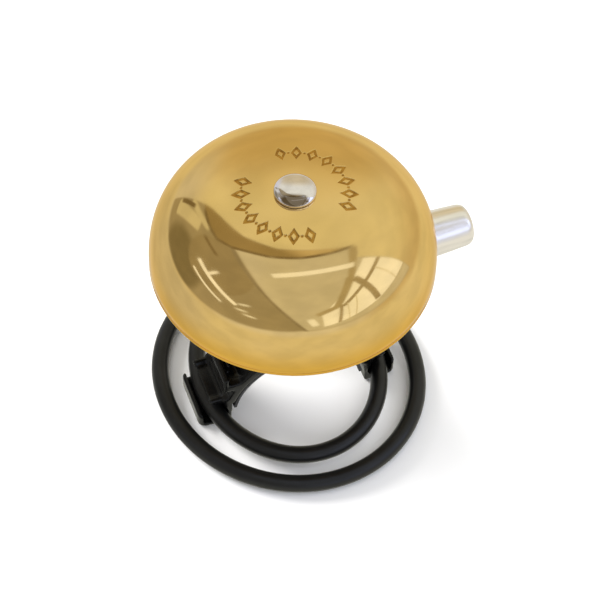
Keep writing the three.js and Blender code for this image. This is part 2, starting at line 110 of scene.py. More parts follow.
def add_camera():
    ahead = from_camera(0, math.cos(CAMERA_ELEVATION), -math.sin(CAMERA_ELEVATION))
    level_up = from_camera(0, math.sin(CAMERA_ELEVATION), math.cos(CAMERA_ELEVATION))
    level_right = from_camera(1, 0, 0)
    turn = math.cos(CAMERA_ROLL)
    tip = math.sin(CAMERA_ROLL)
    right = turn * level_right + tip * level_up
    up = turn * level_up - tip * level_right
    offset = CAMERA_SLIDE[0] * right + CAMERA_SLIDE[1] * up + CAMERA_DISTANCE * ahead
    place = Vector((0, 0, RIM_Z * MM)) - offset
    axes = Matrix((right, up, -ahead)).transposed().to_4x4()
    data = bpy.data.cameras.new("camera")
    data.lens = CAMERA_LENS
    data.sensor_width = 36
    data.clip_start = 0.01
    camera = bpy.data.objects.new("camera", data)
    camera.matrix_world = Matrix.Translation(place) @ axes
    bpy.context.scene.collection.objects.link(camera)
    bpy.context.scene.camera = camera


# ---- Mesh helpers, in millimetres ----

MERGE_DISTANCE = 1e-7  # metres
SHARP_ANGLE = math.radians(42)
MOST_OF_AN_EDGE = 0.4  # that a rounded corner may use up
FLAT_HOLD = 0.25  # how far past a round its extra points lie, as a share of its reach
LEAST_ROUND = 0.01


def add_piece(name, vertices, faces):
    mesh = bpy.data.meshes.new(name)
    mesh.from_pydata((np.asarray(vertices) * MM).tolist(), [], faces)
    piece = bpy.data.objects.new(name, mesh)
    bpy.context.scene.collection.objects.link(piece)
    tidy_mesh(mesh)
    return piece


def tidy_mesh(mesh):
    """Merges doubled points, turns every face outwards and shades it smooth between sharp edges."""
    work = bmesh.new()
    work.from_mesh(mesh)
    bmesh.ops.remove_doubles(work, verts=work.verts, dist=MERGE_DISTANCE)
    bmesh.ops.dissolve_degenerate(work, edges=work.edges, dist=MERGE_DISTANCE)
    bmesh.ops.recalc_face_normals(work, faces=work.faces)
    work.to_mesh(mesh)
    work.free()
    mesh.shade_smooth()
    mesh.set_sharp_from_angle(angle=SHARP_ANGLE)


def grid_faces(rows, columns, closed_rows):
    """Quads over rows of points that each close round on themselves."""
    faces = []
    last = rows if closed_rows else rows - 1
    for i in range(last):
        here = i * columns
        there = ((i + 1) % rows) * columns
        for j in range(columns):
            k = (j + 1) % columns
            faces.append((here + j, here + k, there + k, there + j))
    return faces


def rounded(outline, radius, closed=True, steps=5):
    """The outline with its corners rounded off, and a point either side of each round that keeps
    the flats flat. A corner may give its own radius as a third number."""
    points = [Vector(point[:2]) for point in outline]
    radii = [point[2] if len(point) > 2 else radius for point in outline]
    result = []
    for i, corner in enumerate(points):
        if not closed and i in (0, len(points) - 1):
            result.append(tuple(corner))
            continue
        before = points[i - 1] - corner
        after = points[(i + 1) % len(points)] - corner
        room = MOST_OF_AN_EDGE * min(before.length, after.length)
        reach = min(radii[i], room)
        if reach < LEAST_ROUND:
            result.append(tuple(corner))
            continue
        start = corner + before.normalized() * reach
        end = corner + after.normalized() * reach
        result.append(tuple(start + before.normalized() * reach * FLAT_HOLD))
        for step in range(steps + 1):
            t = step / steps
            bent = (1 - t) ** 2 * start + 2 * t * (1 - t) * corner + t**2 * end
            result.append(tuple(bent))
        result.append(tuple(end + after.normalized() * reach * FLAT_HOLD))
    return result


def turned_points(outline, segments, shape=None):
    """Points of an outline of (radius, height) turned about Z. shape, if given, moves them."""
    outline = np.asarray(outline, float)
    angle = np.linspace(0, 2 * math.pi, segments, endpoint=False)
    radius = np.repeat(outline[:, :1], segments, 1)
    height = np.repeat(outline[:, 1:], segments, 1)
    around = np.repeat(angle[None, :], len(outline), 0)
    if shape:
        radius, height = shape(radius, height, around)
    return np.stack((radius * np.cos(around), radius * np.sin(around), height), -1)


def turned(name, outline, segments=96, shape=None, closed=True):
    points = turned_points(outline, segments, shape)
    return add_piece(name, points.reshape(-1, 3), grid_faces(len(outline), segments, closed))


def lay_along_striker(piece):
    """Turns a piece made about Z so that its Z runs along the striker's axis."""
    lie = Matrix.Rotation(math.pi / 2, 4, "Y")
    turn = Matrix.Rotation(STRIKER_TURN, 4, "Z")
    lift = Matrix.Translation((0, 0, STRIKER_Z * MM))
    piece.data.transform(lift @ turn @ lie)


def ring_outline(inner, outer, bottom, top):
    return [(inner, bottom), (outer, bottom), (outer, top), (inner, top)]


def box_ring(node, inner, round_by):
    """The outline of a plain turned ring that fills its CAD node."""
    bottom = low(node)
    top = high(node)
    return rounded(ring_outline(inner, top.y, bottom.z, top.z), round_by)


def tube(name, path, radius, segments, across, closed):
    """A tube along a path. across gives, for each point, a direction that isn't along the path."""
    path = np.asarray(path, float)
    if closed:
        along = np.roll(path, -1, 0) - np.roll(path, 1, 0)
    else:
        along = np.gradient(path, axis=0)
    along /= np.linalg.norm(along, axis=1, keepdims=True)
    side = np.cross(along, across)
    side /= np.linalg.norm(side, axis=1, keepdims=True)
    lift = np.cross(side, along)
    angle = np.linspace(0, 2 * math.pi, segments, endpoint=False)
    reach = radius(angle)[None, :, None]
    cosine = np.cos(angle)[None, :, None]
    sine = np.sin(angle)[None, :, None]
    points = path[:, None] + reach * (side[:, None] * cosine + lift[:, None] * sine)
    faces = grid_faces(len(path), segments, closed)
    if not closed:
        last = (len(path) - 1) * segments
        faces.append(tuple(range(segments)))
        faces.append(tuple(reversed(range(last, last + segments))))
    return add_piece(name, points.reshape(-1, 3), faces)


def moulded(name, node, voxel, rounds):
    """A copy of a CAD node with its edges softened the way a mould leaves them: it is meshed again
    in steps of voxel, and then smoothed."""
    mesh = NODES[node].data.copy()
    mesh.materials.clear()
    tidy_mesh(mesh)
    piece = bpy.data.objects.new(name, mesh)
    bpy.context.scene.collection.objects.link(piece)
    remesh = piece.modifiers.new("remesh", "REMESH")
    remesh.mode = "VOXEL"
    remesh.voxel_size = voxel * MM
    soften = piece.modifiers.new("soften", "SMOOTH")
    soften.factor = 0.5
    soften.iterations = rounds
    bpy.context.view_layer.update()
    shaped = piece.evaluated_get(bpy.context.evaluated_depsgraph_get())
    softened = bpy.data.meshes.new_from_object(shaped)
    piece.modifiers.clear()
    piece.data = softened
    softened.name = name
    softened.shade_smooth()
    return piece


# ---- Material helpers ----


class Look:
    """A Principled material with short calls for the textures that feed it."""

    def __init__(self, name, roughness, metallic=0.0):
        self.material = bpy.data.materials.new(name)
        self.material.use_nodes = True
        self.tree = self.material.node_tree
        self.shader = self.tree.nodes["Principled BSDF"]
        self.shader.inputs["Metallic"].default_value = metallic
        self.shader.inputs["Roughness"].default_value = roughness
        self.place = self.tree.nodes.new("ShaderNodeTexCoord").outputs["Object"]

    def link(self, source, target):
        self.tree.links.new(source, target)

    def to(self, source, name):
        self.link(source, self.shader.inputs[name])

    def set(self, name, value):
        self.shader.inputs[name].default_value = value

    def stretched(self, scale, turn=0.0):
        """The object's own coordinates, scaled along each axis and then turned about Z."""
        node = self.tree.nodes.new("ShaderNodeMapping")
        node.inputs["Rotation"].default_value = (0, 0, turn)
        node.inputs["Scale"].default_value = scale
        self.link(self.place, node.inputs["Vector"])
        return node.outputs["Vector"]

    def noise(self, scale, detail=3.0, roughness=0.5, vector=None):
        node = self.tree.nodes.new("ShaderNodeTexNoise")
        node.inputs["Scale"].default_value = scale
        node.inputs["Detail"].default_value = detail
        node.inputs["Roughness"].default_value = roughness
        self.link(vector or self.place, node.inputs["Vector"])
        return node.outputs["Fac"]

    def spread(self, source, start, end, low_value=0.0, high_value=1.0):
        node = self.tree.nodes.new("ShaderNodeMapRange")
        node.interpolation_type = "SMOOTHSTEP"
        node.inputs["From Min"].default_value = start
        node.inputs["From Max"].default_value = end
        node.inputs["To Min"].default_value = low_value
        node.inputs["To Max"].default_value = high_value
        self.link(source, node.inputs["Value"])
        return node.outputs["Result"]

    def blend(self, factor, first, second):
        """Mixes two colours; each is a colour or a socket."""
        node = self.tree.nodes.new("ShaderNodeMix")
        node.data_type = "RGBA"
        self.link(factor, node.inputs["Factor"])
        for value, socket in ((first, node.inputs["A"]), (second, node.inputs["B"])):
            self.feed_colour(value, socket)
        return node.outputs["Result"]

    def feed_colour(self, value, socket):
        if isinstance(value, bpy.types.NodeSocket):
            self.link(value, socket)
        else:
            socket.default_value = (*value, 1)

    def height(self):
        node = self.tree.nodes.new("ShaderNodeSeparateXYZ")
        self.link(self.place, node.inputs["Vector"])
        return node.outputs["Z"]

    def edges(self, start, end):
        """Where the surface is convex enough to be rubbed."""
        node = self.tree.nodes.new("ShaderNodeNewGeometry")
        return self.spread(node.outputs["Pointiness"], start, end)

    def slant(self):
        """0 where the surface is seen square on, rising as it is seen at a slant."""
        return self.tree.nodes.new("ShaderNodeLayerWeight").outputs["Facing"]

    def bump(self, source, distance, strength=1.0):
        """Adds a layer of relief over those already there."""
        node = self.tree.nodes.new("ShaderNodeBump")
        node.inputs["Distance"].default_value = distance * MM
        node.inputs["Strength"].default_value = strength
        self.link(source, node.inputs["Height"])
        normal = self.shader.inputs["Normal"]
        if normal.links:
            self.link(normal.links[0].from_socket, node.inputs["Normal"])
        self.link(node.outputs["Normal"], normal)


# ---- Materials ----


def polished_brass():
    """Lacquered brass whose base colour is painted more orange towards the rim, as a painted
    reflection standing in for the warmer, deeper reflection seen there.
    """
    look = Look("polished_brass", 0.07, 1.0)
    clouds = look.spread(look.noise(60, 2), 0.35, 0.65)
    even = look.blend(clouds, (0.79, 0.54, 0.195), (0.83, 0.57, 0.22))
    # Painted reflection: the base colour turns more orange within about 9 mm of the rim.
    painted_rim_reflection = look.spread(look.height(), (RIM_Z + 1) * MM, (RIM_Z + 9) * MM, 1.0, 0.0)
    look.to(look.blend(painted_rim_reflection, even, (0.76, 0.445, 0.075)), "Base Color")
    look.to(look.spread(look.noise(140, 4, 0.6), 0.3, 0.75, 0.045, 0.1), "Roughness")
    look.bump(look.noise(90, 1), 0.01, 0.25)
    look.set("Specular Tint", (1.0, 0.85, 0.62, 1))
    return look.material


def stamped_brass():
    """The floor of the stamped ornament, dull and stained where the polishing wheel can't reach."""
    look = Look("stamped_brass", 0.4, 1.0)
    stain = look.spread(look.noise(900, 3), 0.35, 0.7)
    look.to(look.blend(stain, (0.56, 0.30, 0.055), (0.34, 0.165, 0.03)), "Base Color")
    look.to(look.spread(look.noise(1500, 3), 0.3, 0.7, 0.3, 0.5), "Roughness")
    look.bump(look.noise(2500, 2), 0.01, 0.5)
    return look.material


def spun_brass_inside():
    look = Look("spun_brass_inside", 0.35, 1.0)
    stain = look.spread(look.noise(110, 5, 0.6), 0.35, 0.7)
    look.to(look.blend(stain, (0.56, 0.40, 0.17), (0.42, 0.28, 0.11)), "Base Color")
    look.to(look.spread(look.noise(260, 3), 0.3, 0.7, 0.28, 0.46), "Roughness")
    look.bump(look.noise(1, 2, 0.5, look.stretched((90, 90, 2600))), 0.02, 0.5)
    return look.material


def plain_brass():
    look = Look("plain_brass", 0.32, 1.0)
    stain = look.spread(look.noise(300, 4), 0.35, 0.7)
    look.to(look.blend(stain, (0.70, 0.50, 0.22), (0.55, 0.37, 0.14)), "Base Color")
    look.to(look.spread(look.noise(500, 3), 0.3, 0.7, 0.24, 0.42), "Roughness")
    look.bump(look.noise(1, 2, 0.5, look.stretched((2400, 300, 300))), 0.02, 0.5)
    return look.material


def chrome():
    """Chrome whose base colour holds a painted reflection: dark brown where it is looked into
    squarely, standing in for the dark room it mirrors, and pale at a slant.
    """
    look = Look("chrome", 0.06, 1.0)
    clouds = look.spread(look.noise(220, 2), 0.35, 0.65)
    pale = look.blend(clouds, (0.85, 0.80, 0.80), (0.79, 0.74, 0.74))
    # Painted reflection: this mix paints the screw's face dark brown where it is looked into
    # squarely, and leaves it pale at a slant.
    painted_reflection_fade = look.spread(look.slant(), 0.085, 0.15)
    look.to(look.blend(painted_reflection_fade, (0.24, 0.18, 0.11), pale), "Base Color")
    look.to(look.spread(look.noise(600, 4, 0.6), 0.35, 0.75, 0.05, 0.13), "Roughness")
    look.bump(look.noise(260, 1), 0.008, 0.3)
    return look.material


def satin_aluminium():
    look = Look("satin_aluminium", 0.24, 1.0)
    drawn_lines = look.noise(1, 2, 0.5, look.stretched((90, 1100, 1100), -STRIKER_TURN))
    clouds = look.spread(drawn_lines, 0.3, 0.7)
    look.to(look.blend(clouds, (0.95, 0.90, 0.86), (0.88, 0.83, 0.79)), "Base Color")
    look.to(look.spread(look.noise(300, 2), 0.3, 0.7, 0.21, 0.27), "Roughness")
    look.bump(drawn_lines, 0.001, 0.1)
    return look.material


def steel(name, light, dark, roughness, line_scale):
    look = Look(name, roughness, 1.0)
    stain = look.spread(look.noise(420, 4, 0.6), 0.35, 0.7)
    worn = look.blend(look.edges(0.52, 0.6), look.blend(stain, light, dark), light)
    look.to(worn, "Base Color")
    rubbed = look.spread(look.noise(700, 3), 0.3, 0.7, roughness - 0.08, roughness + 0.08)
    look.to(rubbed, "Roughness")
    look.bump(look.noise(line_scale, 3, 0.6), 0.015, 0.4)
    return look.material


def black_nylon():
    look = Look("black_nylon", 0.38)
    clouds = look.spread(look.noise(160, 4), 0.3, 0.7)
    flat = look.blend(clouds, (0.002, 0.002, 0.002), (0.004, 0.004, 0.004))
    look.to(look.blend(look.edges(0.53, 0.62), flat, (0.014, 0.014, 0.0145)), "Base Color")
    look.to(look.spread(look.noise(320, 5, 0.6), 0.3, 0.72, 0.2, 0.32), "Roughness")
    look.bump(look.noise(2600, 3, 0.6), 0.006, 0.3)
    look.bump(look.noise(240, 2), 0.02, 0.25)
    look.set("Specular IOR Level", 0.24)
    return look.material


def natural_nylon():
    look = Look("natural_nylon", 0.42)
    clouds = look.spread(look.noise(260, 3), 0.3, 0.7)
    look.to(look.blend(clouds, (0.66, 0.62, 0.52), (0.58, 0.535, 0.43)), "Base Color")
    look.to(look.spread(look.noise(500, 3), 0.3, 0.7, 0.36, 0.52), "Roughness")
    look.bump(look.noise(2200, 3), 0.01, 0.4)
    look.set("Subsurface Weight", 0.15)
    look.set("Subsurface Radius", (0.001, 0.0008, 0.0005))
    return look.material


def black_rubber():
    look = Look("black_rubber", 0.5)
    clouds = look.spread(look.noise(130, 4), 0.3, 0.7)
    flat = look.blend(clouds, (0.002, 0.002, 0.002), (0.0045, 0.0045, 0.0045))
    dust = look.spread(look.noise(3400, 2, 0.7), 0.68, 0.76, 0.0, 0.5)
    look.to(look.blend(dust, flat, (0.03, 0.029, 0.028)), "Base Color")
    look.to(look.spread(look.noise(420, 4, 0.6), 0.3, 0.7, 0.3, 0.42), "Roughness")
    look.bump(look.noise(2800, 3, 0.6), 0.006, 0.4)
    look.set("Specular IOR Level", 0.4)
    return look.material


def pad_rubber():
    look = Look("pad_rubber", 0.7)
    clouds = look.spread(look.noise(200, 4), 0.3, 0.7)
    flat = look.blend(clouds, (0.016, 0.016, 0.0165), (0.026, 0.026, 0.026))
    look.to(look.blend(look.edges(0.52, 0.6), flat, (0.045, 0.045, 0.045)), "Base Color")
    look.to(look.spread(look.noise(600, 4), 0.3, 0.7, 0.6, 0.8), "Roughness")
    look.bump(look.noise(3000, 3, 0.6), 0.015, 0.6)
    return look.material


def floor_white():
    look = Look("floor_white", 0.55)
    clouds = look.spread(look.noise(3, 2), 0.3, 0.7)
    look.to(look.blend(clouds, (0.85, 0.85, 0.85), (0.83, 0.83, 0.835)), "Base Color")
    look.set("Specular IOR Level", 0.2)
    return look.material


FINISHES = {
    "polished_brass": polished_brass(),
    "plain_brass": plain_brass(),
    "chrome": chrome(),
    "satin_aluminium": satin_aluminium(),
    "zinc_steel": steel("zinc_steel", (0.62, 0.63, 0.64), (0.48, 0.485, 0.49), 0.34, 900),
    "spring_steel": steel("spring_steel", (0.50, 0.505, 0.515), (0.36, 0.36, 0.37), 0.28, 1400),
    "black_nylon": black_nylon(),
    "natural_nylon": natural_nylon(),
    "black_rubber": black_rubber(),
    "pad_rubber": pad_rubber(),
}


def finish_piece(piece, node, body, slot):
    """Gives a piece the material named by slot unless it has one, puts it under its body and hides
    the CAD node that it stands for.
    """
    if not piece.data.materials:
        piece.data.materials.append(FINISHES[slot])
    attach(piece, body)
    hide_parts(node)


# ---- The dome ----

ORNAMENT_RADIUS = 10.9
ORNAMENT_HALF_WIDTH = 2.1  # of the ring that is meshed finely
ORNAMENT_CENTRES = (25, 205)  # degrees
ORNAMENT_STEP = 17.4  # degrees from one lozenge to the next
ORNAMENT_LOZENGES = 8
ORNAMENT_STROKE = 0.2  # half the width of a stamped line
ORNAMENT_SLOPE = 0.14  # width of a stamped line's side
ORNAMENT_DEPTH = 0.1
LOZENGE_HALF_LENGTH = 0.85
LOZENGE_HALF_HEIGHT = 1.4
DOME_SEGMENTS = 720
DOME_HOLE = 3.2


def dome_height(rho, radius, height):
    share = np.clip(np.asarray(rho, float) / radius, 0, 1)
    return RIM_Z + height * (1 - share**DOME_FULLNESS) ** (1 / DOME_FULLNESS)


def dome_curve(radius, height, widest, narrowest, count):
    """Points of the dome's profile from one radius in to another, evenly spaced along it."""
    power = 2 / DOME_FULLNESS
    t = np.linspace(0, math.pi / 2, 4000)
    rho = radius * np.cos(t) ** power
    z = RIM_Z + height * np.sin(t) ** power
    keep = (rho <= widest) & (rho >= narrowest)
    rho = rho[keep]
    z = z[keep]
    walked = np.concatenate(([0], np.cumsum(np.hypot(np.diff(rho), np.diff(z)))))
    even = np.linspace(0, walked[-1], count)
    return list(zip(np.interp(even, walked, rho), np.interp(even, walked, z)))


def line_depth(distance):
    """How deep a stamped line is, at a distance from its middle, from 0 to 1."""
    share = np.clip((ORNAMENT_STROKE + ORNAMENT_SLOPE - distance) / ORNAMENT_SLOPE, 0, 1)
    return share * share * (3 - 2 * share)


def lozenge(along, out):
    """The distance from a lozenge's outline."""
    size = np.abs(along) / LOZENGE_HALF_LENGTH + np.abs(out) / LOZENGE_HALF_HEIGHT - 1
    slope = math.hypot(1 / LOZENGE_HALF_LENGTH, 1 / LOZENGE_HALF_HEIGHT)
    return np.abs(size) / slope


def ornament_depth(rho, around):
    """A row of open lozenges with a dot between each two, twice round the screw."""
    depth = np.zeros_like(rho)
    out = rho - ORNAMENT_RADIUS
    for centre in ORNAMENT_CENTRES:
        for i in range(ORNAMENT_LOZENGES):
            at = math.radians(centre + (i - (ORNAMENT_LOZENGES - 1) / 2) * ORNAMENT_STEP)
            along = np.angle(np.exp(1j * (around - at))) * ORNAMENT_RADIUS
            motifs = [lozenge(along, out)]
            if i < ORNAMENT_LOZENGES - 1:
                beside = along - math.radians(ORNAMENT_STEP / 2) * ORNAMENT_RADIUS
                motifs.append(np.hypot(beside, out))
            for distance in motifs:
                depth = np.maximum(depth, line_depth(distance))
    return depth


def stamp(rho, z, around):
    """Presses the ornament into the dome's outer face."""
    near = np.abs(rho - ORNAMENT_RADIUS) < ORNAMENT_HALF_WIDTH
    outside = z > dome_height(rho, DOME_RADIUS, DOME_HEIGHT) - 0.3
    depth = ornament_depth(rho, around) * (near & outside)
    return rho, z - ORNAMENT_DEPTH * depth


def dome_face_kinds(mesh, inner_radius):
    """For each face 0 on the outside, 1 on the inside and 2 on the floor of a stamped line."""
    centres = np.empty(len(mesh.polygons) * 3)
    mesh.polygons.foreach_get("center", centres)
    x, y, z = centres.reshape(-1, 3).T / MM
    across = np.hypot(x, y)
    beneath = dome_height(across + 0.35, DOME_RADIUS, DOME_HEIGHT) - 0.5
    inside = (z < beneath) & (across < inner_radius + 0.1)
    near = np.abs(across - ORNAMENT_RADIUS) < ORNAMENT_HALF_WIDTH
    stamped = near & ~inside & (ornament_depth(across, np.arctan2(y, x)) > 0.3)
    return inside * 1 + stamped * 2


def dome_outline(inner_radius):
    """The dome's section, from the rim up the outside to the hole and back down the inside. Its rim
    has a small lip with a fine groove over it."""
    fine_out = ORNAMENT_RADIUS + ORNAMENT_HALF_WIDTH
    fine_in = ORNAMENT_RADIUS - ORNAMENT_HALF_WIDTH
    lip = [(inner_radius + 0.05, RIM_Z + 0.5), (inner_radius + 0.2, RIM_Z + 0.12)]
    lip += [(inner_radius + 0.5, RIM_Z), (DOME_RADIUS - 0.4, RIM_Z)]
    lip += [(DOME_RADIUS - 0.12, RIM_Z + 0.06)]
    lip += [(DOME_RADIUS - 0.03, RIM_Z + 0.2), (DOME_RADIUS, RIM_Z + 0.4)]
    lip += [(DOME_RADIUS - 0.03, RIM_Z + 0.55), (DOME_RADIUS - 0.11, RIM_Z + 0.66)]
    lip += [(DOME_RADIUS - 0.11, RIM_Z + 0.82), (DOME_RADIUS - 0.02, RIM_Z + 0.95)]
    side = dome_curve(DOME_RADIUS, DOME_HEIGHT, DOME_RADIUS - 0.03, fine_out, 34)
    side = [point for point in side if point[1] > RIM_Z + 1.1]
    rho = np.linspace(fine_out, fine_in, 44)[1:]
    fine = list(zip(rho, dome_height(rho, DOME_RADIUS, DOME_HEIGHT)))
    crown = dome_curve(DOME_RADIUS, DOME_HEIGHT, fine_in - 0.3, DOME_HOLE + 0.1, 6)
    hole_edge = [(DOME_HOLE, CROWN_Z - 0.15), (DOME_HOLE, CROWN_Z - DOME_WALL + 0.1)]
    inner_height = DOME_HEIGHT - DOME_WALL
    inside = dome_curve(inner_radius, inner_height, inner_radius, DOME_HOLE + 0.2, 20)
    return lip + side + fine + crown + hole_edge + inside[::-1]


def add_dome():
    inner_radius = DOME_RADIUS - DOME_WALL
    dome = turned("dome_shell", dome_outline(inner_radius), DOME_SEGMENTS, stamp)
    dome.data.materials.append(FINISHES["polished_brass"])
    dome.data.materials.append(spun_brass_inside())
    dome.data.materials.append(stamped_brass())
    kinds = dome_face_kinds(dome.data, inner_radius)
    dome.data.polygons.foreach_set("material_index", kinds.astype(int).tolist())
    finish_piece(dome, "dome", "bell_body", "polished_brass")


SCREW_GAP = 0.03  # under the screw's head
SCREW_SIDE = 0.55  # height of the straight side of its head
SCREW_STEPS = 32
BUSH_BORE = 2.3
BUSH_SLEEVE = 2.9
BUSH_FLANGE = 6
BUSH_FLANGE_THICKNESS = 0.8


def add_dome_fixings():
    base = CROWN_Z + SCREW_GAP
    top = high("dome_screw").z
    bottom = low("dome_screw").z
    edge = high("dome_screw").y
    outline = [(0, bottom), (1.6, bottom), (2, bottom + 0.4), (2, base), (edge - 0.3, base)]
    side_top = base + SCREW_SIDE
    outline += [(edge - 0.1, base + 0.06), (edge, base + 0.25), (edge, side_top)]
    for i in range(1, SCREW_STEPS + 1):
        t = i / SCREW_STEPS * math.pi / 2
        rise = (top - side_top) * math.sin(t) ** 1.15
        outline.append((edge * math.cos(t) if i < SCREW_STEPS else 0, side_top + rise))
    screw = turned("dome_cap_screw", outline, 128, closed=False)
    finish_piece(screw, "dome_screw", "bell_body", "chrome")

    bush_top = high("dome_bush").z
    flange_bottom = low("dome_bush").z
    flange_top = flange_bottom + BUSH_FLANGE_THICKNESS
    outline = [(BUSH_BORE, flange_bottom), (BUSH_FLANGE, flange_bottom), (BUSH_FLANGE, flange_top)]
    outline += [(BUSH_SLEEVE, flange_top), (BUSH_SLEEVE, bush_top), (BUSH_BORE, bush_top)]
    bush = turned("dome_centring_bush", rounded(outline, 0.15))
    finish_piece(bush, "dome_bush", "bell_body", "natural_nylon")

    washer = turned("dome_rubber_washer", box_ring("dome_seat_washer", BUSH_BORE, 0.25))
    finish_piece(washer, "dome_seat_washer", "bell_body", "pad_rubber")


# ---- The post ----

STUD_RADIUS = 3  # of the threaded end under the collar
THREAD_PITCH = 0.8
THREAD_DEPTH = 0.32
THREAD_TOP_Z = 9.6
NUT_BORE = 3.3
NUT_CHAMFER = 0.9  # where the nut's end face stops, as a share of the radius to its corners
NUT_ROWS = 12
WAVE_THICKNESS = 0.2
WAVE_RISE = 0.1
THREAD_ROW = 0.1  # height of each row of points under the thread
BEARING_RADIUS = 4  # where the collar turns
POST_RADIUS = 4.6
POST_BORE = 2.3
POST_BORE_DEPTH = 11
POST_FLANGE_THICKNESS = 1.2


def thread(pitch, depth, inside, from_z, to_z):
    """Cuts a helical thread into the parts of a turned piece that lie between two heights."""

    def shape(radius, height, around):
        phase = (height / pitch - around / (2 * math.pi)) % 1
        cut = depth * np.abs(2 * phase - 1)
        threaded = (radius > inside) & (height > from_z) & (height < to_z)
        return radius - np.where(threaded, cut, 0), height

    return shape


def add_post():
    bottom = low("post").z
    top = high("post").z
    flange = high("post").y
    shoulder = low("collar_slip_washer").z
    collar_top = high("collar_wave_washer").z + 0.3
    flange_top = collar_top + POST_FLANGE_THICKNESS
    chamfer = 0.6
    stud_rows = int((shoulder - chamfer - bottom - chamfer) / THREAD_ROW)
    outline = [(0, bottom), (STUD_RADIUS - 0.5, bottom)]
    for i in range(stud_rows + 1):
        outline.append((STUD_RADIUS, bottom + chamfer + i * THREAD_ROW))
    corners = [(STUD_RADIUS, shoulder - 0.3), (STUD_RADIUS, shoulder, 0.01)]
    corners += [(BEARING_RADIUS, shoulder), (BEARING_RADIUS, collar_top, 0.05)]
    corners += [(flange, collar_top), (flange, flange_top), (POST_RADIUS, flange_top, 0.2)]
    corners += [(POST_RADIUS, top), (POST_BORE, top), (POST_BORE, top - POST_BORE_DEPTH, 0.01)]
    corners += [(0, top - POST_BORE_DEPTH - 1)]
    outline += rounded(corners, 0.25, closed=False)
    shape = thread(THREAD_PITCH, THREAD_DEPTH, STUD_RADIUS - 0.1, bottom + 0.5, THREAD_TOP_Z)
    post = turned("bell_post", outline, 72, shape, closed=False)
    finish_piece(post, "post", "bell_body", "zinc_steel")


def hexagon(corner, bottom, top):
    """Turns a round blank into a nut with chamfered corners. corner is the radius out to them."""

    def shape(radius, height, around):
        sixth = math.pi / 3
        local = (around + sixth / 2) % sixth - sixth / 2
        flat = corner * math.cos(math.pi / 6) / np.cos(local)
        from_end = np.minimum(height - bottom, top - height)
        chamfered = corner * NUT_CHAMFER + from_end * 1.7
        outer = np.minimum(np.minimum(flat, chamfered), corner)
        return np.where(radius > NUT_BORE + 0.3, outer * radius / corner, radius), height

    return shape


def add_nut_and_washers():
    bottom = low("post_nut").z
    top = high("post_nut").z
    corner = max(high("post_nut").x, high("post_nut").y)
    mouth = NUT_BORE + 0.3
    outline = [(NUT_BORE, bottom + 0.4), (mouth, bottom + 0.05), (corner * NUT_CHAMFER, bottom)]
    for i in range(NUT_ROWS + 1):
        outline.append((corner, bottom + 0.02 + (top - bottom - 0.04) * i / NUT_ROWS))
    outline += [(corner * NUT_CHAMFER, top), (mouth, top - 0.05), (NUT_BORE, top - 0.4)]
    nut = turned("post_hex_nut", outline, 144, hexagon(corner, bottom, top))
    finish_piece(nut, "post_nut", "bell_body", "zinc_steel")

    lock = moulded("post_spring_washer", "post_lock_washer", 0.12, 3)
    finish_piece(lock, "post_lock_washer", "bell_body", "spring_steel")

    bush = turned("neck_bearing_bush", box_ring("neck_bush", STUD_RADIUS + 0.3, 0.2))
    finish_piece(bush, "neck_bush", "bell_body", "plain_brass")

    slip = turned("collar_nylon_washer", box_ring("collar_slip_washer", BEARING_RADIUS + 0.3, 0.2))
    finish_piece(slip, "collar_slip_washer", "bell_body", "natural_nylon")

    base = low("collar_wave_washer").z
    outline = rounded(ring_outline(BEARING_RADIUS + 0.3, 6.4, 0, WAVE_THICKNESS), 0.06)

    def waves(radius, height, around):
        return radius, base + height + WAVE_RISE * (1 + np.sin(3 * around))

    wave = turned("collar_spring_washer", outline, 144, waves)
    finish_piece(wave, "collar_wave_washer", "bell_body", "spring_steel")


# ---- The striker ----

COIL_RADIUS = 2
COIL_WIRE = 0.5
COIL_PITCH = 1.3
COIL_TURNS = 10.5
COIL_START = 10.8
STUD_SHANK = 1.2
STUD_FLANGE = 2.7
STUD_TENON = 1.4
HEAD_START = 26
HEAD_END = 40.9
HEAD_BORE = 1.7
HEAD_INNER_RADIUS = 5.2
HEAD_OUTER_RADIUS = 4.55


def add_striker_mounting():
    collar = moulded("striker_turning_collar", "striker_collar", 0.24, 4)
    finish_piece(collar, "striker_collar", "collar", "black_nylon")
    ferrule = moulded("striker_socket_ferrule", "socket_ferrule", 0.1, 2)
    finish_piece(ferrule, "socket_ferrule", "collar", "plain_brass")
    screw = moulded("striker_set_screw", "socket_set_screw", 0.07, 2)
    finish_piece(screw, "socket_set_screw", "collar", "zinc_steel")


def add_striker_spring():
    turn = np.linspace(0, COIL_TURNS * 2 * math.pi, int(COIL_TURNS * 48))
    along = COIL_START + turn / (2 * math.pi) * COIL_PITCH
    path = np.stack((-COIL_RADIUS * np.sin(turn), COIL_RADIUS * np.cos(turn), along), 1)
    across = np.tile((0.0, 0.0, 1.0), (len(path), 1))
    spring = tube("striker_coil", path, lambda a: COIL_WIRE + 0 * a, 14, across, False)
    lay_along_striker(spring)
    finish_piece(spring, "striker_spring", "striker", "spring_steel")


